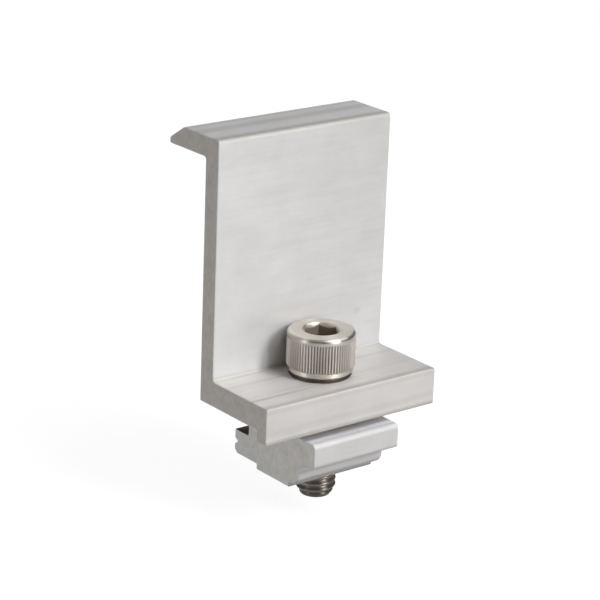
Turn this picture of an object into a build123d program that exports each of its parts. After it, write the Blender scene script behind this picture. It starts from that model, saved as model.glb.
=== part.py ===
"""End clamp for a framed solar panel: an extruded bracket bolted to a rail nut by a socket screw."""

import os
from math import radians, tan

from build123d import *

# Frame: X runs along the extrusions, +Y points at the panel, Z is up. Sizes are millimetres.
# The origin is the point where the screw's axis meets the top of the rail.

# Bracket, a Z-shaped extrusion cut to length
clamp_length = 40.0
foot_depth = 20.6
foot_thickness = 4.9
heel_drop = 2.3
heel_thickness = 2.9
web_thickness = 4.0
frame_height = 49.45
lip_thickness = 3.95
lip_reach = 11.3
lip_flat = 7.0
lip_nose = 1.15
edge_radius = 0.3
web_top_radius = 0.8
nose_radius = 0.55
root_radius = 0.6

# Screw hole, drilled down through the foot
hole_clearance = 0.6
head_to_web = 0.1

# Socket head screw
screw_diameter = 7.8
screw_length = 25.0
tip_chamfer = 0.9
head_diameter = 13.0
head_height = 8.0
head_chamfer = 0.8
rim_height = 1.35
rim_inset = 0.25
rim_chamfer = 0.35
neck_radius = 0.4
socket_width = 6.0
socket_depth = 4.4
socket_countersink = 0.7
socket_floor_angle = 30.0

# Straight knurl around the head
knurl_count = 72
knurl_depth = 0.18
knurl_width = 0.4

# Lock washer under the head
washer_width = 1.75
washer_thickness = 0.7
washer_clearance = 0.3
washer_to_root = 0.05
washer_edge = 0.12

# Rail nut, a second extrusion with a high front wing and a low rear wing
nut_length = 20.0
nut_gap = 1.4
body_corner_radius = 2.4
body_corner_run = 0.6
neck_rear = 8.4
front_wing_reach = 4.4
front_wing_tip = 4.75
front_wing_slope = 6.0
front_wing_fillet = 0.8
front_wing_lip = 0.6
rear_wing_reach = 4.2
rear_wing_drop = 4.8
rear_wing_thickness = 4.9
wing_radius = 1.0
wing_chamfer = 0.75
pad_margin = 0.2
pad_rear = 5.6
pad_height = 1.1
groove_width = 1.3
groove_depth = 0.85
thread_clearance = 0.1
thread_countersink = 0.2

# Levels and lines that the pieces share
head_radius = head_diameter / 2
washer_bore = screw_diameter / 2 + washer_clearance
washer_radius = washer_bore + washer_width
web_front = max(head_radius + head_to_web, washer_radius + washer_to_root + root_radius)
web_back = web_front + web_thickness
front_face = web_back - foot_depth
foot_underside = heel_drop
foot_top = foot_underside + foot_thickness
clamp_top = frame_height + lip_thickness
head_seat = foot_top + washer_thickness
head_top = head_seat + head_height
screw_tip = head_seat - screw_length
nut_top = -nut_gap
rear_wing_top = nut_top - rear_wing_drop
rear_wing_bottom = rear_wing_top - rear_wing_thickness
nut_bottom = rear_wing_bottom - pad_height
hole_diameter = screw_diameter + 2 * hole_clearance


# Bracket: heel and foot on the rail, web up the panel's side, lip over its top edge
with BuildPart() as clamp_bracket:
    lip_tip = web_back + lip_reach
    heel_back = front_face + heel_thickness
    bracket_outline = [
        ((front_face, 0), edge_radius),
        ((front_face, foot_top), edge_radius),
        ((web_front, foot_top), root_radius),
        ((web_front, clamp_top), web_top_radius),
        ((web_back + lip_flat, clamp_top), edge_radius),
        ((lip_tip, frame_height + lip_nose), nose_radius),
        ((lip_tip, frame_height), nose_radius),
        ((web_back, frame_height), root_radius),
        ((web_back, foot_underside), edge_radius),
        ((heel_back, foot_underside), edge_radius),
        ((heel_back, 0), edge_radius),
    ]
    bracket_points, bracket_radii = zip(*bracket_outline)
    with BuildSketch(Plane.YZ.offset(-clamp_length / 2)):
        with BuildLine():
            FilletPolyline(bracket_points, radius=bracket_radii, close=True)
        make_face()
    extrude(amount=clamp_length)
    with Locations((0, 0, foot_top)):
        Hole(hole_diameter / 2, depth=foot_top)
clamp_bracket.part.label = "clamp_bracket"

# Lock washer, a thin ring between the foot and the head
with BuildPart() as lock_washer:
    with BuildSketch(Plane.XY.offset(foot_top)):
        Circle(washer_radius)
        Circle(washer_bore, mode=Mode.SUBTRACT)
    extrude(amount=washer_thickness)
    chamfer(lock_washer.edges().filter_by(GeomType.CIRCLE), washer_edge)
lock_washer.part.label = "lock_washer"

# Socket head screw, turned about Z, with its hexagon, countersink and knurl cut afterwards
with BuildPart() as cap_screw:
    rim_radius = head_radius - rim_inset
    shank_radius = screw_diameter / 2
    shoulder = head_top - head_chamfer
    knurl_bottom = head_seat + rim_height
    with BuildSketch(Plane.XZ):
        with BuildLine():
            Polyline(
                (shank_radius, head_seat - neck_radius),
                (shank_radius, screw_tip + tip_chamfer),
                (shank_radius - tip_chamfer, screw_tip),
                (0, screw_tip),
                (0, head_top),
                (head_radius - head_chamfer, head_top),
            )
            CenterArc((head_radius - head_chamfer, shoulder), head_chamfer, 0, 90)
            Polyline(
                (head_radius, shoulder),
                (head_radius, knurl_bottom),
                (rim_radius, knurl_bottom - rim_inset),
                (rim_radius, head_seat + rim_chamfer),
                (rim_radius - rim_chamfer, head_seat),
                (shank_radius + neck_radius, head_seat),
            )
            CenterArc((shank_radius + neck_radius, head_seat - neck_radius), neck_radius, 90, 90)
        make_face()
    revolve(axis=Axis.Z)

    with BuildSketch(Plane.XY.offset(head_top)):
        RegularPolygon(socket_width / 2, 6, major_radius=False)
    extrude(amount=-socket_depth, mode=Mode.SUBTRACT)
    with BuildSketch(Plane.XZ):
        with BuildLine():
            mouth_radius = socket_width / 2 + socket_countersink
            floor = head_top - socket_depth
            floor_depth = socket_width / 2 * tan(radians(socket_floor_angle))
            Polyline(
                (0, head_top),
                (mouth_radius, head_top),
                (mouth_radius - socket_countersink, head_top - socket_countersink),
                (socket_width / 2, floor),
                (0, floor - floor_depth),
                close=True,
            )
        make_face()
    revolve(axis=Axis.Z, mode=Mode.SUBTRACT)

    with BuildSketch(Plane.XY.offset(knurl_bottom)):
        with PolarLocations(head_radius, knurl_count):
            Polygon((knurl_depth, -knurl_width), (knurl_depth, knurl_width), (-knurl_depth, 0), align=None)
    extrude(amount=shoulder - knurl_bottom, mode=Mode.SUBTRACT)
cap_screw.part.label = "cap_screw"

# Rail nut, its wings under the rail's lips, its pad below and its thread on the screw
with BuildPart() as rail_nut:
    thread_radius = screw_diameter / 2 + thread_clearance
    thread_mouth = thread_radius + thread_countersink
    pad_front = -thread_mouth - pad_margin
    wing_root = pad_front - body_corner_run - body_corner_radius
    wing_tip = wing_root - front_wing_reach
    wing_underside = nut_top - front_wing_tip
    wing_root_underside = wing_underside - front_wing_reach * tan(radians(front_wing_slope))
    rear_back = neck_rear + rear_wing_reach
    groove_level = (rear_wing_top + rear_wing_bottom) / 2
    nut_outline = [
        ((wing_tip, nut_top), wing_radius),
        ((neck_rear, nut_top), edge_radius),
        ((neck_rear, rear_wing_top), edge_radius),
        ((rear_back, rear_wing_top), edge_radius),
        ((rear_back, groove_level + groove_width / 2), 0),
        ((rear_back - groove_depth, groove_level), 0),
        ((rear_back, groove_level - groove_width / 2), 0),
        ((rear_back, rear_wing_bottom + wing_chamfer), 0),
        ((rear_back - wing_chamfer, rear_wing_bottom), 0),
        ((pad_rear, rear_wing_bottom), edge_radius),
        ((pad_rear, nut_bottom), edge_radius),
        ((pad_front, nut_bottom), 0),
        ((pad_front, rear_wing_bottom), 0),
        ((wing_root, rear_wing_bottom), body_corner_radius),
        ((wing_root, wing_root_underside), front_wing_fillet),
        ((wing_tip, wing_underside), front_wing_lip),
    ]
    nut_points, nut_radii = zip(*nut_outline)
    with BuildSketch(Plane.YZ.offset(-nut_length / 2)):
        with BuildLine():
            FilletPolyline(nut_points, radius=nut_radii, close=True)
        make_face()
    extrude(amount=nut_length)
    with BuildSketch(Plane.XZ):
        with BuildLine():
            Polyline(
                (0, nut_top),
                (thread_mouth, nut_top),
                (thread_radius, nut_top - thread_countersink),
                (thread_radius, nut_bottom + thread_countersink),
                (thread_mouth, nut_bottom),
                (0, nut_bottom),
                close=True,
            )
        make_face()
    revolve(axis=Axis.Z, mode=Mode.SUBTRACT)
rail_nut.part.label = "rail_nut"

os.makedirs("parts", exist_ok=True)
for piece in (clamp_bracket, lock_washer, cap_screw, rail_nut):
    export_step(piece.part, f"parts/{piece.part.label}.step")
    print(piece.part.label, round(piece.part.volume, 1), piece.part.bounding_box())
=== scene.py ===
from math import cos, pi, radians, sin, tan

import bmesh
import bpy
import numpy as np
from bpy.props import FloatProperty, FloatVectorProperty, IntProperty, PointerProperty
from mathutils import Matrix, Vector


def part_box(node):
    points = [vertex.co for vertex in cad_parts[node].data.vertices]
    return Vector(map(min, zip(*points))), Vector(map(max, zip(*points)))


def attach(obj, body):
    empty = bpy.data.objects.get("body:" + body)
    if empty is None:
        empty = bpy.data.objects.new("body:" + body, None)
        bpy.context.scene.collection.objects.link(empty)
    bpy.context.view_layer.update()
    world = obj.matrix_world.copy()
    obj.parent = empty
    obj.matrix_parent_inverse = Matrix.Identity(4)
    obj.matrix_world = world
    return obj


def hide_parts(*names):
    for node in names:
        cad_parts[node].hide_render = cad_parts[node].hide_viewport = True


bl_info = {
    "name": "Solar end clamp",
    "version": (1, 0, 0),
    "blender": (4, 5, 0),
    "location": "View3D > Sidebar > End clamp",
    "description": "Dresses an extruded end clamp, its socket screw and its rail nut, and sets the studio",
    "category": "Object",
}

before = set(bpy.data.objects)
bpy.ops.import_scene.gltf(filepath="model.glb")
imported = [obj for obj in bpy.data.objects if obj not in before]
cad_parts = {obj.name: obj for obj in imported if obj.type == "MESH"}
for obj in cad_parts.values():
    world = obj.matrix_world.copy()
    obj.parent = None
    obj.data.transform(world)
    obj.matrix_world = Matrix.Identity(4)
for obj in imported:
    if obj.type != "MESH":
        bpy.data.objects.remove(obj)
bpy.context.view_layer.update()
bracket_low, bracket_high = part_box("clamp_bracket")
nut_low, nut_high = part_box("rail_nut")
screw_low, screw_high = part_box("cap_screw")
washer_low, washer_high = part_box("lock_washer")

MILLIMETRE = 0.001

# Reach of a streak that runs the whole length, and of one that stays on its face
ALL_ALONG = 1000 * MILLIMETRE
ON_FACE = 0.4 * MILLIMETRE

# Streaks along X on a face: distance from where the face starts and half width, both in
# millimetres, then the part of the brightness that the streak takes away at its middle, or adds
# where it is negative
FOOT_TOP_STREAKS = ((0.5, 1.7, 0.26), (6.2, 0.9, 0.06), (12.4, 1.0, 0.1))
LIP_TOP_STREAKS = ((0.8, 2.0, 0.28), (6.7, 2.2, 0.17), (10.1, 0.8, 0.11))
# On the foot's front the first streak is painted shade along its lower edge, over the gap to the nut; the
# others are darker bands along X
FOOT_FRONT_BANDS_AND_SHADE = ((0.1, 1.1, 0.34), (2.2, 1.2, 0.08), (4.0, 6.0, 0.08), (6.4, 0.8, 0.08))
# Painted light on the nut's top close under the foot's front, lifting the foot's shadow there
NUT_TOP_PAINTED_LIGHT = ((2.0, 1.3, -0.45),)
# Painted shade along the lower edge of the nut's front wing, where its rounding turns down
NUT_FRONT_PAINTED_SHADE = ((0.0, 0.9, 0.3),)
# Painted shade on the front of the nut's body, below the front wing
NUT_BODY_PAINTED_SHADE = ((2.7, 0.5, 0.22),)

# Single marks: their reach along X, Y and Z in millimetres, then the same part of the brightness
DIE_LINE_END = ((30.0, 0.8, 0.4), 0.26)
WEB_SMUDGE = ((1.4, 0.4, 0.9), 0.12)
# Painted light: the web's lower left is brightened as if lit by light thrown up from the foot
WEB_PAINTED_SHEEN = ((22.0, 0.4, 30.0), -0.07)
# Painted shade: the web's upper right is darkened
WEB_PAINTED_SHADE_CORNER = ((45.0, 0.4, 60.0), 0.14)
SAW_CUT_DENT = ((0.4, 0.5, 0.7), 0.5)
REAR_WING_SHADE = ((9.0, 5.2, 1.2), 0.95)

# Where the smudge lies on the web, along X and above the rail, and the dent's height above the rail
SMUDGE_ALONG = 13.9 * MILLIMETRE
SMUDGE_HEIGHT = 15 * MILLIMETRE
DENT_HEIGHT = 1.2 * MILLIMETRE

# Shading along a corner: its half width in millimetres and the part of the brightness it takes
ROOT_SHADE = (1.0, 0.3)
WEB_TOP_SHADE = (0.9, 0.34)
BEVEL_SHADE = (4.0, 0.3)
NUT_CORNER_SHADE = (1.4, 0.7)

# Height over which the painted shade at the screw's end fades, the thread getting lighter above it
END_SHADE_HEIGHT = 3 * MILLIMETRE

# How fine each pattern is, in waves to a metre along X, Y and Z
DIE_LINES = (260.0, 5200.0, 5200.0)
DIE_BANDS = (60.0, 1100.0, 1100.0)
CLOUDS = (110.0, 150.0, 150.0)
SAW_CUTS = (500.0, 4200.0, 700.0)
CROSSED_CUTS = (500.0, 3600.0, 700.0)
SAW_MOTTLE = (320.0, 420.0, 420.0)
STEEL_PATCHES = (380.0, 380.0, 380.0)
WASHER_MOTTLE = (900.0, 900.0, 900.0)

# The same for the turned rings, out from the axis and up along it
RINGS_OUT = 9000.0
RINGS_UP = 5000.0

# Turn of the saw marks about X
SAW_TURN = (radians(12.0), 0.0, 0.0)
CROSSED_TURN = (radians(-50.0), 0.0, 0.0)

# Darkest and lightest level of each finish, as a share of its colour
EXTRUDED_LEVELS = (0.84, 1.12)
SAWN_LEVELS = (0.8, 1.14)
HEAD_LEVELS = (0.93, 1.05)
THREAD_LEVELS = (0.8, 1.15)
WASHER_LEVELS = (0.8, 1.2)

# Level of the darker grooves, of the smooth steel, brighter partly as a painted highlight, and of the
# painted shade at the thread's end
GROOVE_LEVEL = 0.62
SMOOTH_HIGHLIGHT_LEVEL = 1.44
THREAD_END_SHADE_LEVEL = 0.3

# How much a mark takes of red, green and blue, for real stains and for painted shade and light alike,
# and how far noise shifts a mark's edge, as a share of its reach
STAIN_AND_SHADE_PARTS = (0.92, 1.0, 1.1)
RAGGED_EDGE = 0.5

# How metallic the dull oxide skin of the aluminium is
ALUMINIUM_METALLIC = 0.3

# Heights and widths over which one finish of the screw gives way to the next, and what the forged
# socket keeps of the head's colour
HEAD_FADE = 0.9 * MILLIMETRE
KNURL_START_FADE = 0.2 * MILLIMETRE
BORE_FADE = 0.1 * MILLIMETRE
SOCKET_FADE = 1 * MILLIMETRE
FORGED_TONE = (0.82, 0.75, 0.67, 1.0)

# Depth of the fine relief on the die's and the lathe's surfaces, and on a saw cut
FINE_RELIEF = 0.01 * MILLIMETRE
SAWN_RELIEF = 0.03 * MILLIMETRE

# Height over which the lower part's tone begins, and that tone
TONE_FADE = 0.5 * MILLIMETRE
FOOT_TONE = (1.0, 0.978, 0.965, 1.0)
NUT_TONE = (0.98, 0.98, 0.99, 1.0)

# Points of an outline that lie closer than this are one
SAME_POINT = 0.00001 * MILLIMETRE

# Rows of vertices for each turn of the thread, along the neck, over the shoulder and across the
# face, and sides of the round holes and of the washer
ROWS_PER_TURN = 16
NECK_ROWS = 7
SHOULDER_ROWS = 9
FACE_ROWS = 4
HOLE_SIDES = 96
WASHER_SIDES = 144

# Edges of the screw that turn by more than this stay sharp
SHARP_TURN = radians(28.0)

# Where the socket's conical floor starts, as a share of the circle inside the hexagon
CONE_START = 0.999

# Rows of the knurl's end below the shoulder: height as a share of its fade, and depth of its grooves
KNURL_END_HEIGHTS = (1.0, 0.75, 0.5, 0.25, 0.0)
KNURL_END_DEPTHS = (1.0, 0.85, 0.45, 0.1, 0.0)

# Grey of the floor as the object sees it, which lights it from below
FLOOR_PAPER = 0.4

# Height of the point that the lamps face
LAMP_AIM = 20 * MILLIMETRE


def length(name, description, millimetres):
    """A length property whose default is given in millimetres."""
    return FloatProperty(name=name, description=description, default=millimetres * MILLIMETRE,
                         unit="LENGTH", subtype="DISTANCE", precision=5)


def share(name, description, value):
    """A property from 0 to 1."""
    return FloatProperty(name=name, description=description, default=value,
                         min=0.0, max=1.0, subtype="FACTOR")


def angle(name, description, degrees):
    """An angle property whose default is given in degrees."""
    return FloatProperty(name=name, description=description, default=radians(degrees), subtype="ANGLE")


def colour(name, description, value):
    """A colour property in linear red, green and blue."""
    return FloatVectorProperty(name=name, description=description, default=value, size=3,
                               min=0.0, max=1.0, subtype="COLOR")


class BracketSizes(bpy.types.PropertyGroup):
    foot_thickness: length("Foot thickness", "Thickness of the foot behind the heel", 4.9)
    heel_drop: length("Heel drop", "How far the heel reaches below the foot", 2.3)
    heel_thickness: length("Heel thickness", "Depth of the heel from front to back", 2.9)
    web_thickness: length("Web thickness", "Thickness of the upright web", 4.0)
    lip_thickness: length("Lip thickness", "Thickness of the lip over the panel frame", 3.95)
    lip_reach: length("Lip reach", "How far the lip stands out behind the web", 11.3)
    lip_flat: length("Lip flat", "Level part of the lip's top behind the web", 7.0)
    lip_nose: length("Lip nose", "Height of the blunt nose at the lip's tip", 1.15)
    edge_radius: length("Edge radius", "Radius on the plain corners of the section", 0.3)
    web_top_radius: length("Web top radius", "Radius on the corner above the web's front", 0.8)
    nose_radius: length("Nose radius", "Radius on the two corners of the nose", 0.55)
    root_radius: length("Root radius", "Radius in the inner corners of the web", 0.6)
    hole_diameter: length("Hole diameter", "Clearance hole through the foot", 9.0)
    die_line_setback: length("Die line setback", "Distance of the fine die line from the foot's front", 4.65)
    die_line_width: length("Die line width", "Width of the fine die line along the foot", 0.3)
    die_line_depth: length("Die line depth", "Depth of the fine die line along the foot", 0.05)
    edge_break: length("Edge break", "Rounding where the saw cut meets the section", 0.2)


class NutSizes(bpy.types.PropertyGroup):
    body_front: length("Body front", "Distance of the body's front face from the screw's axis", 7.4)
    body_corner_radius: length("Body corner radius", "Radius on the lower front corner of the body", 2.4)
    neck_rear: length("Neck rear", "Distance of the neck's rear face from the screw's axis", 8.4)
    front_wing_tip: length("Front wing tip", "Thickness of the front wing at its tip", 4.75)
    front_wing_slope: angle("Front wing slope", "Slope of the front wing's underside", 6.0)
    front_wing_fillet: length("Front wing fillet", "Radius under the root of the front wing", 0.8)
    front_wing_lip: length("Front wing lip", "Radius on the lower corner of the front wing", 0.6)
    wing_radius: length("Wing radius", "Radius along the front wing's upper edge", 1.0)
    rear_wing_drop: length("Rear wing drop", "Distance of the rear wing's top below the nut's top", 4.8)
    rear_wing_thickness: length("Rear wing thickness", "Thickness of the rear wing", 4.9)
    wing_chamfer: length("Wing chamfer", "Chamfer under the rear wing's tip", 0.75)
    pad_front: length("Pad front", "Distance of the pad's front edge from the screw's axis", 4.4)
    pad_rear: length("Pad rear", "Distance of the pad's rear edge from the screw's axis", 5.6)
    groove_width: length("Groove width", "Width of the groove along the rear wing's tip", 1.3)
    groove_depth: length("Groove depth", "Depth of the groove along the rear wing's tip", 0.85)
    thread_bore: length("Thread bore", "Bore that the screw's thread runs in", 8.0)
    edge_radius: length("Edge radius", "Radius on the plain corners of the section", 0.3)
    edge_break: length("Edge break", "Rounding where the saw cut meets the section", 0.15)


class ScrewSizes(bpy.types.PropertyGroup):
    head_height: length("Head height", "Height of the head above its seat", 8.0)
    head_chamfer: length("Head chamfer", "Radius of the shoulder around the head's top", 0.8)
    rim_height: length("Rim height", "Height of the plain rim below the knurl", 1.35)
    rim_inset: length("Rim inset", "How far the rim stands in from the knurl", 0.25)
    rim_chamfer: length("Rim chamfer", "Chamfer under the rim", 0.35)
    neck_radius: length("Neck radius", "Fillet between the head and the shank", 0.4)
    socket_width: length("Socket width", "Hexagon across its flats", 6.0)
    socket_depth: length("Socket depth", "Depth of the hexagon's walls", 4.4)
    socket_countersink: length("Socket countersink", "Countersink around the socket's mouth", 0.7)
    socket_floor_angle: angle("Socket floor angle", "Slope of the socket's conical floor", 30.0)
    knurl_count: IntProperty(name="Knurl count", description="Grooves around the head", default=72, min=12)
    knurl_depth: length("Knurl depth", "Depth of the knurl's grooves", 0.18)
    knurl_width: length("Knurl width", "Width of each groove at the head's surface", 0.4)
    knurl_fade: length("Knurl fade", "Height over which the grooves run out below the shoulder", 0.7)
    shank_diameter: length("Shank diameter", "Outer diameter of the thread", 7.7)
    thread_pitch: length("Thread pitch", "Rise of the thread in one turn", 1.25)
    thread_depth: length("Thread depth", "Height of the thread's ridge", 0.6)
    tip_inset: length("Tip inset", "How far the screw's end stands in from the thread", 1.0)
    tip_length: length("Tip length", "Height over which the screw's end narrows", 2.2)
    run_out: length("Run-out", "Smooth shank between the thread and the neck", 0.6)


class WasherSizes(bpy.types.PropertyGroup):
    clearance: length("Clearance", "Room between the washer's bore and the thread", 0.3)
    edge: length("Edge", "Rounding on the washer's four edges", 0.12)


class Finish(bpy.types.PropertyGroup):
    bracket: colour("Bracket", "Extruded aluminium of the bracket", (0.675, 0.67, 0.665))
    # Darker than the bracket's sides partly as painted shade, for the ends that face away from the lamps
    bracket_cut: colour("Bracket saw cut", "Sawn ends of the bracket", (0.495, 0.467, 0.436))
    nut: colour("Nut", "Extruded aluminium of the nut", (0.62, 0.602, 0.602))
    nut_cut: colour("Nut saw cut", "Sawn ends of the nut", (0.64, 0.62, 0.595))
    screw: colour("Screw", "Turned stainless steel of the head", (0.49, 0.452, 0.412))
    # Darker than the head as painted shade, standing in for the dark surroundings that the shank reflects
    thread: colour("Thread", "Rolled thread, darker than the head", (0.25, 0.222, 0.196))
    # Near black as painted shade, for the dark gap under the head
    washer: colour("Washer", "Dull steel of the washer", (0.1, 0.08, 0.065))


class Studio(bpy.types.PropertyGroup):
    azimuth: angle("Azimuth", "Camera's azimuth, 0 looking along +Y", -38.567)
    elevation: angle("Elevation", "Camera's height above the horizon", 19.024)
    roll: angle("Roll", "Turn of the camera about its view", 2.198)
    distance: length("Distance", "Camera's distance from its aim", 429.627)
    aim: FloatVectorProperty(name="Aim", description="Point that the camera looks at", size=3,
                             default=(-0.01189, -0.0081, 0.02616), subtype="XYZ", unit="LENGTH")
    focal_length: FloatProperty(name="Focal length", description="Lens on a 36 mm sensor, in millimetres",
                                default=143.33)
    floor_drop: length("Floor drop", "Distance of the floor below the screw's end", 4.0)
    floor_size: length("Floor size", "Side of the square floor", 6000.0)
    floor_shadow: share("Floor shadow", "Part of the floor's white that comes from the lamps", 0.2)
    world_level: share("World level", "Brightness of the room around the object", 0.05)


class EndClamp(bpy.types.PropertyGroup):
    bracket: PointerProperty(type=BracketSizes)
    nut: PointerProperty(type=NutSizes)
    screw: PointerProperty(type=ScrewSizes)
    washer: PointerProperty(type=WasherSizes)
    finish: PointerProperty(type=Finish)
    studio: PointerProperty(type=Studio)


def settings():
    """The add-on's properties on the open scene."""
    return bpy.context.scene.end_clamp


class Signal:
    """A shader socket that takes plain arithmetic: each operation adds its Math node."""

    def __init__(self, recipe, socket):
        self.recipe = recipe
        self.socket = socket

    def math(self, operation, first, second):
        return self.recipe.add("ShaderNodeMath", {"operation": operation}, {0: first, 1: second})

    def __add__(self, other):
        return self.math("ADD", self, other)

    def __sub__(self, other):
        return self.math("SUBTRACT", self, other)

    def __rsub__(self, other):
        return self.math("SUBTRACT", other, self)

    def __mul__(self, other):
        return self.math("MULTIPLY", self, other)

    __radd__ = __add__
    __rmul__ = __mul__

    def between(self, low, high):
        """0 at low, 1 at high, smooth in between and flat outside."""
        return self.recipe.add(
            "ShaderNodeMapRange",
            {"interpolation_type": "SMOOTHSTEP", "clamp": True},
            {"Value": self, "From Min": low, "From Max": high, "To Min": 0.0, "To Max": 1.0},
        )


class Recipe:
    """The node tree of a material or world and the one method that adds nodes to it."""

    def __init__(self, owner):
        self.owner = owner
        self.owner.use_nodes = True
        self.tree = self.owner.node_tree
        self.tree.nodes.clear()

    def add(self, kind, choices=None, inputs=None, output=0):
        """A node of this kind, its settings set first, then the values or links of its sockets."""
        node = self.tree.nodes.new(kind)
        for key, value in (choices or {}).items():
            setattr(node, key, value)
        for key, value in (inputs or {}).items():
            if isinstance(value, Signal):
                self.tree.links.new(value.socket, node.inputs[key])
            else:
                node.inputs[key].default_value = value
        return Signal(self, node.outputs[output]) if node.outputs else None

    def place(self):
        """Object coordinates, in metres."""
        return self.add("ShaderNodeTexCoord", output="Object")

    def along(self, vector, axis):
        """One coordinate of a vector."""
        return self.add("ShaderNodeSeparateXYZ", {}, {0: vector}, output=axis)

    def scaled(self, vector, scale, turn=(0.0, 0.0, 0.0)):
        """A vector stretched by a scale along each axis, after a turn."""
        return self.add("ShaderNodeMapping", {"vector_type": "POINT"},
                        {"Vector": vector, "Rotation": turn, "Scale": scale})

    def noise(self, vector, detail, roughness=0.5):
        """Smooth noise from 0 to 1 over a stretched vector."""
        return self.add("ShaderNodeTexNoise", {"noise_dimensions": "3D"},
                        {"Vector": vector, "Scale": 1.0, "Detail": detail, "Roughness": roughness})

    def mix(self, factor, first, second, blend="MIX"):
        """A colour between two others."""
        return self.add("ShaderNodeMix", {"data_type": "RGBA", "blend_type": blend},
                        {0: factor, 6: first, 7: second}, output=2)

    def toned(self, factor, base, levels):
        """A colour property between its darkest and its lightest level."""
        darkest, lightest = levels
        return self.mix(factor, tinted(base, darkest), tinted(base, lightest))

    def bump(self, height, distance, strength):
        """A normal tilted by a height, given in metres by its distance."""
        return self.add("ShaderNodeBump", {}, {"Height": height, "Distance": distance, "Strength": strength})

    def finish(self, **sockets):
        """Feeds the surface shader and returns the material."""
        named = {key.replace("_", " ").title(): value for key, value in sockets.items()}
        shader = self.add("ShaderNodeBsdfPrincipled", {}, named)
        self.add("ShaderNodeOutputMaterial", {}, {"Surface": shader})
        return self.owner


def grey(level):
    """An opaque grey as a colour value."""
    return (level, level, level, 1.0)


def tinted(value, level):
    """A colour property times a level, opaque."""
    return tuple(min(channel * level, 1.0) for channel in value) + (1.0,)


def streaks_on_top(streaks, start, level):
    """Marks along X on a level face, counted back from its front edge."""
    return [((0.0, start + away * MILLIMETRE, level), (ALL_ALONG, half * MILLIMETRE, ON_FACE), depth)
            for away, half, depth in streaks]


def streaks_in_front(streaks, start, face):
    """Marks along X on an upright face, counted up from its lower edge."""
    return [((0.0, face, start + away * MILLIMETRE), (ALL_ALONG, ON_FACE, half * MILLIMETRE), depth)
            for away, half, depth in streaks]


def shade_along(corner, half, depth):
    """A mark along X around a corner of the section."""
    return ((0.0, *corner), (ALL_ALONG, half * MILLIMETRE, half * MILLIMETRE), depth)


def mark_at(centre, reach, depth):
    """A single mark, its reach given in millimetres."""
    return (centre, tuple(along * MILLIMETRE for along in reach), depth)


def stain_and_shade(depth):
    """What a mark of this depth leaves of a colour, a little less of its blue than of its red."""
    return tuple(1 - part * depth for part in STAIN_AND_SHADE_PARTS) + (1.0,)


def marked(r, place, ragged, shade, marks):
    """Darkens a colour in soft spots or streaks, and brightens it where a mark's depth is negative.

    A mark has a centre, its reach along each axis and its depth: with q the distance from the centre
    as a share of the reach, it fades from its depth at q = 0 to nothing at q = 1.
    """
    # Many of these marks are painted shade or painted light, the rest stains, dents and bands
    for centre, reach, depth in marks:
        away = r.add("ShaderNodeVectorMath", {"operation": "SUBTRACT"}, {0: place, 1: centre})
        share_of_reach = r.add("ShaderNodeVectorMath", {"operation": "DIVIDE"}, {0: away, 1: reach})
        distance = r.add("ShaderNodeVectorMath", {"operation": "LENGTH"}, {0: share_of_reach}, output=1)
        inside = 1 - (distance + (ragged - 0.5) * RAGGED_EDGE).between(0.0, 1.0)
        shade = r.mix(inside, shade, stain_and_shade(depth), "MULTIPLY")
    return shade


def extruded_metal(name, base, tone_top, low_tone, marks):
    """Mill-finish extrusion: fine die lines along X over a soft cloudy tone, with its marks.

    Below the height tone_top the colour is multiplied by the low tone.
    """
    r = Recipe(bpy.data.materials.new(name))
    place = r.place()
    height = r.along(place, 2)
    fine = r.noise(r.scaled(place, DIE_LINES), detail=2.0, roughness=0.6)
    broad = r.noise(r.scaled(place, DIE_BANDS), detail=4.0, roughness=0.65)
    cloud = r.noise(r.scaled(place, CLOUDS), detail=4.0, roughness=0.6)
    tone = (fine - 0.5) * 0.1 + (broad - 0.5) * 0.08 + (cloud - 0.5) * 0.35 + 0.5
    shade = r.toned(tone.between(0.2, 0.8), base, EXTRUDED_LEVELS)
    low = 1 - height.between(tone_top, tone_top + TONE_FADE)
    shade = r.mix(low, shade, low_tone, "MULTIPLY")
    shade = marked(r, place, broad, shade, marks)
    rough = tone * 0.12 + 0.48
    normal = r.bump(fine * 0.7 + broad * 0.3, FINE_RELIEF, 0.3)
    return r.finish(base_color=shade, metallic=ALUMINIUM_METALLIC, roughness=rough, normal=normal)


def sawn_metal(name, base, marks=()):
    """Sawn end of an extrusion: crossed saw marks over broad smudges, duller than the die's surface.
    Its darkness comes from its colour, which on the bracket is partly painted shade."""
    r = Recipe(bpy.data.materials.new(name))
    place = r.place()
    cuts = r.noise(r.scaled(place, SAW_CUTS, SAW_TURN), detail=3.0, roughness=0.6)
    crossed = r.noise(r.scaled(place, CROSSED_CUTS, CROSSED_TURN), detail=2.0)
    mottle = r.noise(r.scaled(place, SAW_MOTTLE), detail=5.0, roughness=0.7)
    tone = cuts * 0.35 + crossed * 0.25 + mottle * 0.4
    shade = r.toned(tone.between(0.3, 0.7), base, SAWN_LEVELS)
    shade = marked(r, place, mottle, shade, marks)
    rough = tone * 0.15 + 0.45
    normal = r.bump(tone, SAWN_RELIEF, 0.5)
    return r.finish(base_color=shade, metallic=ALUMINIUM_METALLIC, roughness=rough, normal=normal)


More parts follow.
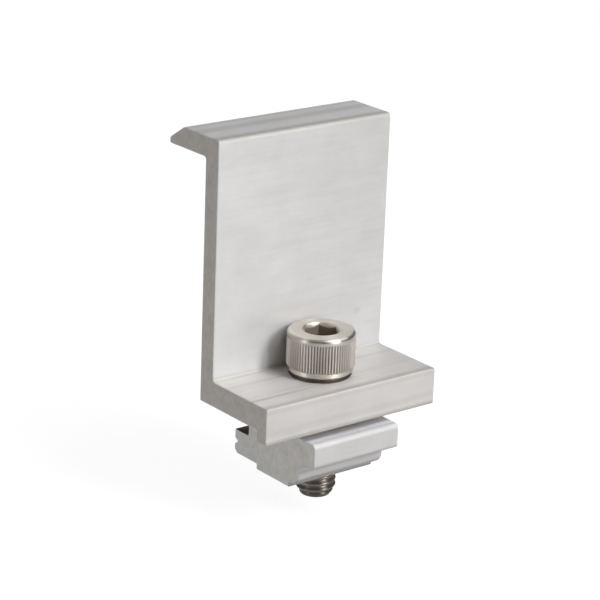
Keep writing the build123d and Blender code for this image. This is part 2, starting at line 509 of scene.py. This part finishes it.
def turned_metal(name, base, dark, levels, bore, knurl):
    """Turned and rolled stainless steel, with fine rings around the axis.

    The levels are the heights of the screw's end, the head's seat, the knurl's lower end, the
    shoulder and the top. The thread below the seat is darker, as painted shade for the dark
    surroundings that the shank reflects, and darkest at its end, where that painted shade is
    deepest. The smooth rim and the top are brighter than the knurl, partly as a painted highlight
    on the shoulder and top. The knurl's grooves, from its inner to its outer radius, are darker,
    and the forged socket inside its bore is duller.
    """
    end, seat, knurl_bottom, shoulder, top = levels
    r = Recipe(bpy.data.materials.new(name))
    place = r.place()
    height = r.along(place, 2)
    flat = r.add("ShaderNodeVectorMath", {"operation": "MULTIPLY"}, {0: place, 1: (1.0, 1.0, 0.0)})
    radius = r.add("ShaderNodeVectorMath", {"operation": "LENGTH"}, {0: flat}, output=1)
    polar = r.add("ShaderNodeCombineXYZ", {}, {0: radius * RINGS_OUT, 1: height * RINGS_UP, 2: 0.0})
    rings = r.noise(polar, detail=2.0, roughness=0.6)
    patch = r.noise(r.scaled(place, STEEL_PATCHES), detail=3.0)
    tone = rings * 0.5 + patch * 0.5
    head = height.between(seat - HEAD_FADE, seat)
    knurled = height.between(knurl_bottom - KNURL_START_FADE, knurl_bottom)
    smooth = 1 - knurled * (1 - height.between(shoulder, top))
    forged = (1 - radius.between(bore - BORE_FADE, bore)) * height.between(seat, seat + SOCKET_FADE)
    bright = r.toned(tone.between(0.3, 0.7), base, HEAD_LEVELS)
    groove = 1 - radius.between(*knurl)
    bright = r.mix(groove, bright, tinted(base, GROOVE_LEVEL))
    bright = r.mix(smooth, bright, tinted(base, SMOOTH_HIGHLIGHT_LEVEL))
    shaded_thread = r.toned(tone.between(0.3, 0.7), dark, THREAD_LEVELS)
    shaded_thread = r.mix(height.between(end, end + END_SHADE_HEIGHT), tinted(dark, THREAD_END_SHADE_LEVEL), shaded_thread)
    shade = r.mix(head, shaded_thread, bright)
    shade = r.mix(forged, shade, FORGED_TONE, "MULTIPLY")
    rough = tone * 0.12 + forged * 0.12 - head * 0.08 + 0.38
    normal = r.bump(rings, FINE_RELIEF, 0.3)
    return r.finish(base_color=shade, metallic=1 - forged * 0.45, roughness=rough, normal=normal,
                    anisotropic=0.75, anisotropic_rotation=0.25)


def shaded_steel(name, base):
    """Spring steel with a faint mottle; its near-black colour is painted shade for the dark gap under the
    head.
    """
    r = Recipe(bpy.data.materials.new(name))
    patch = r.noise(r.scaled(r.place(), WASHER_MOTTLE), detail=3.0)
    shade = r.toned(patch, base, WASHER_LEVELS)
    rough = patch * 0.2 + 0.35
    return r.finish(base_color=shade, metallic=1.0, roughness=rough)


def rounded_outline(corners, steps=7):
    """Closed outline with an arc at each corner.

    With a and b the unit directions from the corner C to its neighbours and h half the angle between
    them, the arc of radius r has its centre at C + r / sin(h) along a + b and touches the sides at
    r / tan(h) from C. Its points are the blend sin((1 - s)w), sin(s w) of the two radii, over sin(w),
    where w is the angle that they span.
    """
    points = np.array([corner[0] for corner in corners], float)
    radii = np.array([corner[1] for corner in corners], float)[:, None]
    to_last = np.roll(points, 1, axis=0) - points
    to_next = np.roll(points, -1, axis=0) - points
    to_last /= np.linalg.norm(to_last, axis=1, keepdims=True)
    to_next /= np.linalg.norm(to_next, axis=1, keepdims=True)
    half = np.arccos((to_last * to_next).sum(axis=1, keepdims=True)) / 2
    middle = to_last + to_next
    middle /= np.linalg.norm(middle, axis=1, keepdims=True)
    centre = points + middle * radii / np.sin(half)
    start = points + to_last * radii / np.tan(half) - centre
    end = points + to_next * radii / np.tan(half) - centre
    span = (pi - 2 * half)[:, None, :]
    s = np.linspace(0.0, 1.0, steps)[None, :, None]
    arcs = (np.sin((1 - s) * span) * start[:, None] + np.sin(s * span) * end[:, None]) / np.sin(span)
    outline = (centre[:, None] + arcs).reshape(-1, 2)
    gaps = np.linalg.norm(outline - np.roll(outline, 1, axis=0), axis=1)
    return outline[gaps > SAME_POINT]


def inset_outline(outline, distance):
    """Each point moves inwards by the distance, along the mitre of its two sides: the sum of the two
    unit normals over one plus their dot product."""
    along = np.roll(outline, -1, axis=0) - outline
    along /= np.linalg.norm(along, axis=1, keepdims=True)
    inward = np.stack([-along[:, 1], along[:, 0]], axis=1)
    area = np.cross(outline, np.roll(outline, -1, axis=0)).sum()
    inward *= np.sign(area)
    before = np.roll(inward, 1, axis=0)
    mitre = (inward + before) / (1.0 + (inward * before).sum(axis=1, keepdims=True))
    return outline + mitre * distance


def ring_faces(rows, columns):
    """Four-sided faces between neighbouring rows of a grid that closes along its columns."""
    index = np.arange(rows * columns).reshape(rows, columns)
    ahead = np.roll(index, -1, axis=1)
    return np.stack([index[:-1], ahead[:-1], ahead[1:], index[1:]], axis=2).reshape(-1, 4)


def make_piece(name, vertices, faces, materials, face_materials=None):
    """A mesh object at the origin, its faces turned outwards and shaded smooth."""
    mesh = bpy.data.meshes.new(name)
    mesh.from_pydata(np.asarray(vertices).tolist(), [], faces)
    for material in materials:
        mesh.materials.append(material)
    if face_materials is not None:
        mesh.polygons.foreach_set("material_index", np.asarray(face_materials, np.int32))
    shape = bmesh.new()
    shape.from_mesh(mesh)
    bmesh.ops.recalc_face_normals(shape, faces=shape.faces)
    shape.to_mesh(mesh)
    shape.free()
    mesh.polygons.foreach_set("use_smooth", np.ones(len(mesh.polygons), bool))
    piece = bpy.data.objects.new(name, mesh)
    bpy.context.scene.collection.objects.link(piece)
    return piece


def extrusion(name, outline, half_length, edge_break, materials, steps=4):
    """A section carried along X between two saw cuts.

    Near each end the section at x = L - e (1 - sin t) is drawn in by e (1 - cos t), for t from 0 to a
    right angle and e the edge break, so that the cut meets the sides in a small rounding. The sides
    and the rounding take the first material, and the flat cuts the second.
    """
    t = np.linspace(0.0, pi / 2, steps)
    x = half_length - edge_break * (1 - np.sin(t))
    inset = edge_break * (1 - np.cos(t))
    x = np.concatenate([-x[::-1], x])
    inset = np.concatenate([inset[::-1], inset])
    sections = [inset_outline(outline, distance) for distance in inset]
    rows, columns = len(x), len(outline)
    vertices = np.empty((rows, columns, 3))
    vertices[:, :, 0] = x[:, None]
    vertices[:, :, 1:] = sections
    sides = ring_faces(rows, columns)
    first_cap = list(range(columns))
    last_cap = list(range((rows - 1) * columns, rows * columns))
    face_materials = [0] * len(sides) + [1, 1]
    faces = sides.tolist() + [first_cap, last_cap]
    return make_piece(name, vertices.reshape(-1, 3), faces, materials, face_materials)


def turned(name, radius, height, turn, materials, closed=False):
    """A surface of revolution whose radius and height are given at each row and each angle, so that
    x = r cos a, y = r sin a, z = h. An open profile starts and ends on the axis, at one point each."""
    rows, columns = radius.shape
    grid = np.stack([radius * np.cos(turn), radius * np.sin(turn), height], axis=2)
    if closed:
        faces = ring_faces(rows, columns).tolist()
        last = (rows - 1) * columns + np.arange(columns)
        ahead = np.roll(np.arange(columns), -1)
        faces += np.stack([last, np.roll(last, -1), ahead, np.arange(columns)], axis=1).tolist()
        return make_piece(name, grid.reshape(-1, 3), faces, materials)
    poles = np.stack([grid[0, 0], grid[-1, 0]])
    vertices = np.concatenate([grid[1:-1].reshape(-1, 3), poles])
    inner = (rows - 2) * columns
    faces = ring_faces(rows - 2, columns).tolist()
    ring = np.arange(columns)
    ahead = np.roll(ring, -1)
    faces += np.stack([ring, ahead, np.full(columns, inner)], axis=1).tolist()
    last = inner - columns
    faces += np.stack([last + ring, last + ahead, np.full(columns, inner + 1)], axis=1).tolist()
    return make_piece(name, vertices, faces, materials)


def drill(piece, diameter, bottom, top):
    """Cuts a round hole along Z with a Boolean modifier, and keeps its result as the mesh."""
    turn = np.linspace(0.0, 2 * pi, HOLE_SIDES, endpoint=False)[None, :]
    radius = np.array([0.0, 1.0, 1.0, 0.0])[:, None] * diameter / 2 + turn * 0
    height = np.array([bottom, bottom, top, top])[:, None] + turn * 0
    cutter = turned("drill", radius, height, turn, [])
    modifier = piece.modifiers.new("Hole", "BOOLEAN")
    modifier.operation = "DIFFERENCE"
    modifier.solver = "EXACT"
    modifier.object = cutter
    keep_modifiers(piece)
    bpy.data.objects.remove(cutter)


def keep_modifiers(piece):
    """Replaces a piece's mesh with what its modifiers make of it."""
    evaluated = piece.evaluated_get(bpy.context.evaluated_depsgraph_get())
    made = bpy.data.meshes.new_from_object(evaluated)
    piece.modifiers.clear()
    piece.data = made


def shade_by_area(piece):
    """Large flat faces keep their own shading, and small roundings blend between them."""
    modifier = piece.modifiers.new("Weighted normals", "WEIGHTED_NORMAL")
    modifier.mode = "FACE_AREA"
    modifier.weight = 100
    modifier.keep_sharp = True


def dress(piece, node, body):
    """The piece stands for a node of the frame, whose mesh it hides, and moves with its body."""
    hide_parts(node)
    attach(piece, body)


class CLAMP_OT_add_bracket(bpy.types.Operator):
    """Make the Z-shaped bracket, with its sawn ends, die line and hole"""
    bl_idname = "clamp.add_bracket"
    bl_label = "Bracket"

    def execute(self, context):
        s, finish = settings().bracket, settings().finish
        front, bottom, tip, top = bracket_low.y, bracket_low.z, bracket_high.y, bracket_high.z
        underside = bottom + s.heel_drop
        foot_top = underside + s.foot_thickness
        web_back = tip - s.lip_reach
        web_front = web_back - s.web_thickness
        lip_bottom = top - s.lip_thickness
        line = front + s.die_line_setback
        corners = [
            ((front, bottom), s.edge_radius),
            ((front, foot_top), s.edge_radius),
            ((line - s.die_line_width / 2, foot_top), 0.0),
            ((line, foot_top - s.die_line_depth), 0.0),
            ((line + s.die_line_width / 2, foot_top), 0.0),
            ((web_front, foot_top), s.root_radius),
            ((web_front, top), s.web_top_radius),
            ((web_back + s.lip_flat, top), s.edge_radius),
            ((tip, lip_bottom + s.lip_nose), s.nose_radius),
            ((tip, lip_bottom), s.nose_radius),
            ((web_back, lip_bottom), s.root_radius),
            ((web_back, underside), s.edge_radius),
            ((front + s.heel_thickness, underside), s.edge_radius),
            ((front + s.heel_thickness, bottom), s.edge_radius),
        ]
        left = bracket_low.x
        marks = [
            *streaks_on_top(FOOT_TOP_STREAKS, front, foot_top),
            *streaks_on_top(LIP_TOP_STREAKS, web_front, top),
            *streaks_in_front(FOOT_FRONT_BANDS_AND_SHADE, bottom, front),
            shade_along((web_front, foot_top), *ROOT_SHADE),
            shade_along((web_front, top), *WEB_TOP_SHADE),
            shade_along((tip, lip_bottom + s.lip_nose), *BEVEL_SHADE),
            mark_at((left, line, foot_top), *DIE_LINE_END),
            mark_at((SMUDGE_ALONG, web_front, bottom + SMUDGE_HEIGHT), *WEB_SMUDGE),
            mark_at((left, web_front, foot_top), *WEB_PAINTED_SHEEN),
            mark_at((bracket_high.x, web_front, top), *WEB_PAINTED_SHADE_CORNER),
        ]
        sides = extruded_metal("bracket_extruded", finish.bracket, foot_top, FOOT_TONE, marks)
        dent = mark_at((left, front + s.heel_thickness, bottom + DENT_HEIGHT), *SAW_CUT_DENT)
        materials = [sides, sawn_metal("bracket_sawn", finish.bracket_cut, [dent])]
        piece = extrusion("bracket_body", rounded_outline(corners), bracket_high.x, s.edge_break, materials)
        drill(piece, s.hole_diameter, bottom - s.heel_drop, foot_top + s.foot_thickness)
        shade_by_area(piece)
        dress(piece, "clamp_bracket", "bracket")
        return {"FINISHED"}


class CLAMP_OT_add_nut(bpy.types.Operator):
    """Make the rail nut, with its two wings, groove, pad and bore"""
    bl_idname = "clamp.add_nut"
    bl_label = "Rail nut"

    def execute(self, context):
        s, finish = settings().nut, settings().finish
        wing_tip, bottom, rear_tip, top = nut_low.y, nut_low.z, nut_high.y, nut_high.z
        wing_root = -s.body_front
        wing_underside = top - s.front_wing_tip
        root_underside = wing_underside - (wing_root - wing_tip) * tan(s.front_wing_slope)
        rear_top = top - s.rear_wing_drop
        rear_bottom = rear_top - s.rear_wing_thickness
        groove = (rear_top + rear_bottom) / 2
        corners = [
            ((wing_tip, top), s.wing_radius),
            ((s.neck_rear, top), s.edge_radius),
            ((s.neck_rear, rear_top), s.edge_radius),
            ((rear_tip, rear_top), s.edge_radius),
            ((rear_tip, groove + s.groove_width / 2), 0.0),
            ((rear_tip - s.groove_depth, groove), 0.0),
            ((rear_tip, groove - s.groove_width / 2), 0.0),
            ((rear_tip, rear_bottom + s.wing_chamfer), 0.0),
            ((rear_tip - s.wing_chamfer, rear_bottom), 0.0),
            ((s.pad_rear, rear_bottom), s.edge_radius),
            ((s.pad_rear, bottom), s.edge_radius),
            ((-s.pad_front, bottom), 0.0),
            ((-s.pad_front, rear_bottom), 0.0),
            ((wing_root, rear_bottom), s.body_corner_radius),
            ((wing_root, root_underside), s.front_wing_fillet),
            ((wing_tip, wing_underside), s.front_wing_lip),
        ]
        wing_middle = (s.neck_rear + rear_tip) / 2
        marks = [
            *streaks_on_top(NUT_TOP_PAINTED_LIGHT, wing_tip, top),
            *streaks_in_front(NUT_FRONT_PAINTED_SHADE, wing_underside, wing_tip),
            *streaks_in_front(NUT_BODY_PAINTED_SHADE, rear_bottom, wing_root),
            shade_along((wing_root + s.edge_radius, rear_bottom + s.edge_radius), *NUT_CORNER_SHADE),
            mark_at((-nut_high.x, wing_middle, rear_top), *REAR_WING_SHADE),
        ]
        sides = extruded_metal("nut_extruded", finish.nut, root_underside, NUT_TONE, marks)
        materials = [sides, sawn_metal("nut_sawn", finish.nut_cut)]
        piece = extrusion("nut_body", rounded_outline(corners), nut_high.x, s.edge_break, materials)
        drill(piece, s.thread_bore, bottom - s.edge_radius, top + s.edge_radius)
        shade_by_area(piece)
        dress(piece, "rail_nut", "nut")
        return {"FINISHED"}


class CLAMP_OT_add_washer(bpy.types.Operator):
    """Make the thin lock washer under the head"""
    bl_idname = "clamp.add_washer"
    bl_label = "Lock washer"

    def execute(self, context):
        s = settings().washer
        outer = washer_high.x
        inner = settings().screw.shank_diameter / 2 + s.clearance
        corners = [
            ((inner, washer_low.z), s.edge),
            ((outer, washer_low.z), s.edge),
            ((outer, washer_high.z), s.edge),
            ((inner, washer_high.z), s.edge),
        ]
        section = rounded_outline(corners, 4)
        turn = np.linspace(0.0, 2 * pi, WASHER_SIDES, endpoint=False)[None, :]
        material = shaded_steel("washer_steel", settings().finish.washer)
        radius, height = section[:, :1] + turn * 0, section[:, 1:] + turn * 0
        piece = turned("washer_ring", radius, height, turn, [material], closed=True)
        dress(piece, "lock_washer", "bracket")
        return {"FINISHED"}


class CLAMP_OT_add_screw(bpy.types.Operator):
    """Make the socket screw, with its knurl, hexagon and thread"""
    bl_idname = "clamp.add_screw"
    bl_label = "Socket screw"

    def knurl_angles(self, s, head_radius):
        """Four angles for each groove: its bottom, its two edges and the middle of the land."""
        pitch = 2 * pi / s.knurl_count
        edge = s.knurl_width / 2 / head_radius
        steps = np.array([0.0, edge, pitch / 2, pitch - edge])
        return (np.arange(s.knurl_count)[:, None] * pitch + steps[None, :]).reshape(1, -1)

    def thread_rows(self, s, turn, bottom, top):
        """The thread's radius over height h and angle a, for the outer radius R, the pitch p and the
        depth d: R - d (1 - cos(2 pi h / p - a)) / 2, a rounded ridge that fades out below the head.
        Over the tip's length the whole narrows by its inset times 1 - sin(pi u / 2), with u the
        height above the end as a share of that length."""
        rows = ROWS_PER_TURN * int(round((top - bottom) / s.thread_pitch))
        height = np.linspace(bottom, top, rows)[:, None]
        drop = s.thread_depth * (1 - np.cos(2 * pi * height / s.thread_pitch - turn)) / 2
        fade = np.clip((top - height) / s.thread_pitch, 0.0, 1.0)
        lowest = np.clip((height - bottom) / s.tip_length, 0.0, 1.0)
        narrow = 1 - np.sin(lowest * pi / 2)
        radius = s.shank_diameter / 2 - drop * fade * (1 - narrow) - s.tip_inset * narrow
        return radius, height + turn * 0

    def execute(self, context):
        s, finish = settings().screw, settings().finish
        tip, top, head_radius = screw_low.z, screw_high.z, screw_high.x
        turn = self.knurl_angles(s, head_radius)
        level = np.ones_like(turn)
        seat = top - s.head_height
        shoulder = top - s.head_chamfer
        knurl_bottom = seat + s.rim_height
        rim = head_radius - s.rim_inset
        outer = s.shank_diameter / 2

        thread_top = seat - s.neck_radius - s.run_out
        thread_radius, thread_height = self.thread_rows(s, turn, tip, thread_top)
        quarter = np.linspace(0.0, pi / 2, NECK_ROWS)
        neck = [(outer + s.neck_radius * (1 - cos(a)), seat - s.neck_radius * (1 - sin(a))) for a in quarter]
        under = neck + [
            (rim - s.rim_chamfer, seat),
            (rim, seat + s.rim_chamfer),
            (rim, knurl_bottom - s.rim_inset),
        ]
        under_radius = np.array([p[0] for p in under])[:, None] * level
        under_height = np.array([p[1] for p in under])[:, None] * level

        pitch = 2 * pi / s.knurl_count
        from_groove = np.abs(np.mod(turn + pitch / 2, pitch) - pitch / 2) * head_radius
        groove = s.knurl_depth * np.clip(1 - from_groove / (s.knurl_width / 2), 0.0, 1.0)
        depth = np.array([1.0, *KNURL_END_DEPTHS])[:, None]
        fading = s.knurl_fade * np.array(KNURL_END_HEIGHTS)
        below = np.array([shoulder - knurl_bottom, *fading])[:, None]
        knurl_height = shoulder - below * level
        knurl_radius = head_radius - groove * depth

        rounding = np.linspace(0.0, pi / 2, SHOULDER_ROWS)[:, None]
        cap_radius = head_radius - s.head_chamfer * (1 - np.cos(rounding)) * level
        cap_height = shoulder + s.head_chamfer * np.sin(rounding) + turn * 0
        mouth = s.socket_width / 2 + s.socket_countersink
        face_radius = np.linspace(head_radius - s.head_chamfer, mouth, FACE_ROWS)[1:, None] * level
        face_height = top * np.ones_like(face_radius)

        sixth = pi / 3
        hexagon = s.socket_width / 2 / np.cos(np.mod(turn, sixth) - sixth / 2)
        lip_height = top - (mouth - hexagon)
        floor = top - s.socket_depth
        floor_tip = floor - s.socket_width / 2 * tan(s.socket_floor_angle)
        cone = s.socket_width / 2 * CONE_START * level
        inner_radius = np.concatenate([hexagon, hexagon, cone, 0 * level])
        inner_height = np.concatenate([lip_height, floor * level, floor * level, floor_tip * level])

        radius = np.concatenate([0 * level, thread_radius, under_radius, knurl_radius,
                                 cap_radius[1:], face_radius, inner_radius])
        height = np.concatenate([tip * level, thread_height, under_height, knurl_height,
                                 cap_height[1:], face_height, inner_height])
        levels = (tip, seat, knurl_bottom, shoulder, top)
        bore = mouth - s.socket_countersink / 3
        knurl = (head_radius - s.knurl_depth, head_radius)
        material = turned_metal("screw_stainless", finish.screw, finish.thread, levels, bore, knurl)
        piece = turned("screw_body", radius, height, turn, [material])
        sharpen(piece, SHARP_TURN)
        dress(piece, "cap_screw", "screw")
        return {"FINISHED"}


def sharpen(piece, limit):
    """Edges that turn by more than the limit stay sharp in the shading."""
    shape = bmesh.new()
    shape.from_mesh(piece.data)
    for edge in shape.edges:
        edge.smooth = edge.calc_face_angle(0.0) < limit
    shape.to_mesh(piece.data)
    shape.free()


def softbox(name, azimuth, elevation, distance, width, height, power):
    """A flat lamp at an azimuth and elevation around the object, facing it."""
    a, e = radians(azimuth), radians(elevation)
    out = Vector((sin(a) * cos(e), -cos(a) * cos(e), sin(e)))
    lamp = bpy.data.lights.new(name, "AREA")
    lamp.shape = "RECTANGLE"
    lamp.size = width
    lamp.size_y = height
    lamp.energy = power
    lit = bpy.data.objects.new(name, lamp)
    lit.location = Vector((0.0, 0.0, LAMP_AIM)) + out * distance
    lit.rotation_euler = out.to_track_quat("Z", "Y").to_euler()
    bpy.context.scene.collection.objects.link(lit)
    return lit


# Each lamp's name, azimuth and elevation in degrees, distance, width and height in metres, and watts
LAMPS = (
    ("key", 19.0, 30.0, 0.9, 0.12, 0.4, 3.8),
    ("low_key", 7.0, 20.0, 0.9, 0.1, 0.45, 1.7),
    ("overhead", 20.0, 60.0, 0.9, 0.38, 0.38, 2.7),
    ("crown", -12.0, 72.0, 0.9, 1.1, 0.1, 0.8),
    ("right", 72.0, 48.0, 0.9, 0.4, 0.4, 1.1),
    ("behind", 125.0, 40.0, 0.9, 0.4, 0.4, 0.4),
    ("left", -95.0, 5.0, 0.9, 0.3, 0.2, 1.15),
    ("high_left", -105.0, 45.0, 0.9, 0.3, 0.4, 0.55),
)


class CLAMP_OT_set_stage(bpy.types.Operator):
    """Lay the floor, hang the lamps and place the camera"""
    bl_idname = "clamp.set_stage"
    bl_label = "Stage"

    def lay_floor(self, studio):
        half = studio.floor_size / 2
        level = screw_low.z - studio.floor_drop
        r = Recipe(bpy.data.materials.new("floor_white"))
        paper = r.add("ShaderNodeBsdfDiffuse", {}, {"Color": grey(FLOOR_PAPER)})
        shaded = r.add("ShaderNodeBsdfDiffuse", {}, {"Color": grey(studio.floor_shadow)})
        glow_level = 1.0 - studio.floor_shadow / 2
        glow = r.add("ShaderNodeEmission", {}, {"Color": grey(1.0), "Strength": glow_level})
        white = r.add("ShaderNodeAddShader", {}, {0: shaded, 1: glow})
        path = r.add("ShaderNodeLightPath", output="Is Camera Ray")
        glossy = Signal(r, path.socket.node.outputs["Is Glossy Ray"])
        through = Signal(r, path.socket.node.outputs["Is Transmission Ray"])
        shader = r.add("ShaderNodeMixShader", {}, {0: path + glossy + through, 1: paper, 2: white})
        r.add("ShaderNodeOutputMaterial", {}, {"Surface": shader})
        corners = [(-half, -half, level), (half, -half, level), (half, half, level), (-half, half, level)]
        floor = make_piece("floor", corners, [[0, 1, 2, 3]], [r.owner])

    def set_world(self, studio):
        r = Recipe(bpy.data.worlds.new("room"))
        light = r.add("ShaderNodeBackground", {}, {"Color": grey(1.0), "Strength": studio.world_level})
        r.add("ShaderNodeOutputWorld", {}, {"Surface": light})
        bpy.context.scene.world = r.owner

    def place_camera(self, studio):
        a, e = studio.azimuth, studio.elevation
        back = Vector((sin(a) * cos(e), -cos(a) * cos(e), sin(e)))
        level_right = Vector((0.0, 0.0, 1.0)).cross(back).normalized()
        level_up = back.cross(level_right)
        right = level_right * cos(studio.roll) + level_up * sin(studio.roll)
        up = back.cross(right)
        lens = bpy.data.cameras.new("camera")
        lens.sensor_width = 36.0
        lens.lens = studio.focal_length
        lens.clip_start = 0.01
        camera = bpy.data.objects.new("camera", lens)
        turn = Matrix((right, up, back)).transposed().to_4x4()
        camera.matrix_world = Matrix.Translation(Vector(studio.aim) + back * studio.distance) @ turn
        bpy.context.scene.collection.objects.link(camera)
        bpy.context.scene.camera = camera

    def execute(self, context):
        studio = settings().studio
        self.lay_floor(studio)
        self.set_world(studio)
        for lamp in LAMPS:
            softbox(*lamp)
        self.place_camera(studio)
        context.scene.view_settings.view_transform = "Standard"
        return {"FINISHED"}


class CLAMP_PT_pieces(bpy.types.Panel):
    bl_label = "End clamp"
    bl_idname = "CLAMP_PT_pieces"
    bl_space_type = "VIEW_3D"
    bl_region_type = "UI"
    bl_category = "End clamp"

    def draw(self, context):
        for operator in OPERATORS:
            self.layout.operator(operator.bl_idname)


OPERATORS = (
    CLAMP_OT_add_bracket,
    CLAMP_OT_add_nut,
    CLAMP_OT_add_washer,
    CLAMP_OT_add_screw,
    CLAMP_OT_set_stage,
)
GROUPS = (BracketSizes, NutSizes, ScrewSizes, WasherSizes, Finish, Studio, EndClamp)
CLASSES = GROUPS + OPERATORS + (CLAMP_PT_pieces,)


def register():
    for kind in CLASSES:
        bpy.utils.register_class(kind)
    bpy.types.Scene.end_clamp = PointerProperty(type=EndClamp)


def unregister():
    del bpy.types.Scene.end_clamp
    for kind in reversed(CLASSES):
        bpy.utils.unregister_class(kind)


def main():
    register()
    bpy.ops.clamp.add_bracket()
    bpy.ops.clamp.add_nut()
    bpy.ops.clamp.add_washer()
    bpy.ops.clamp.add_screw()
    bpy.ops.clamp.set_stage()


if __name__ == "__main__":
    main()
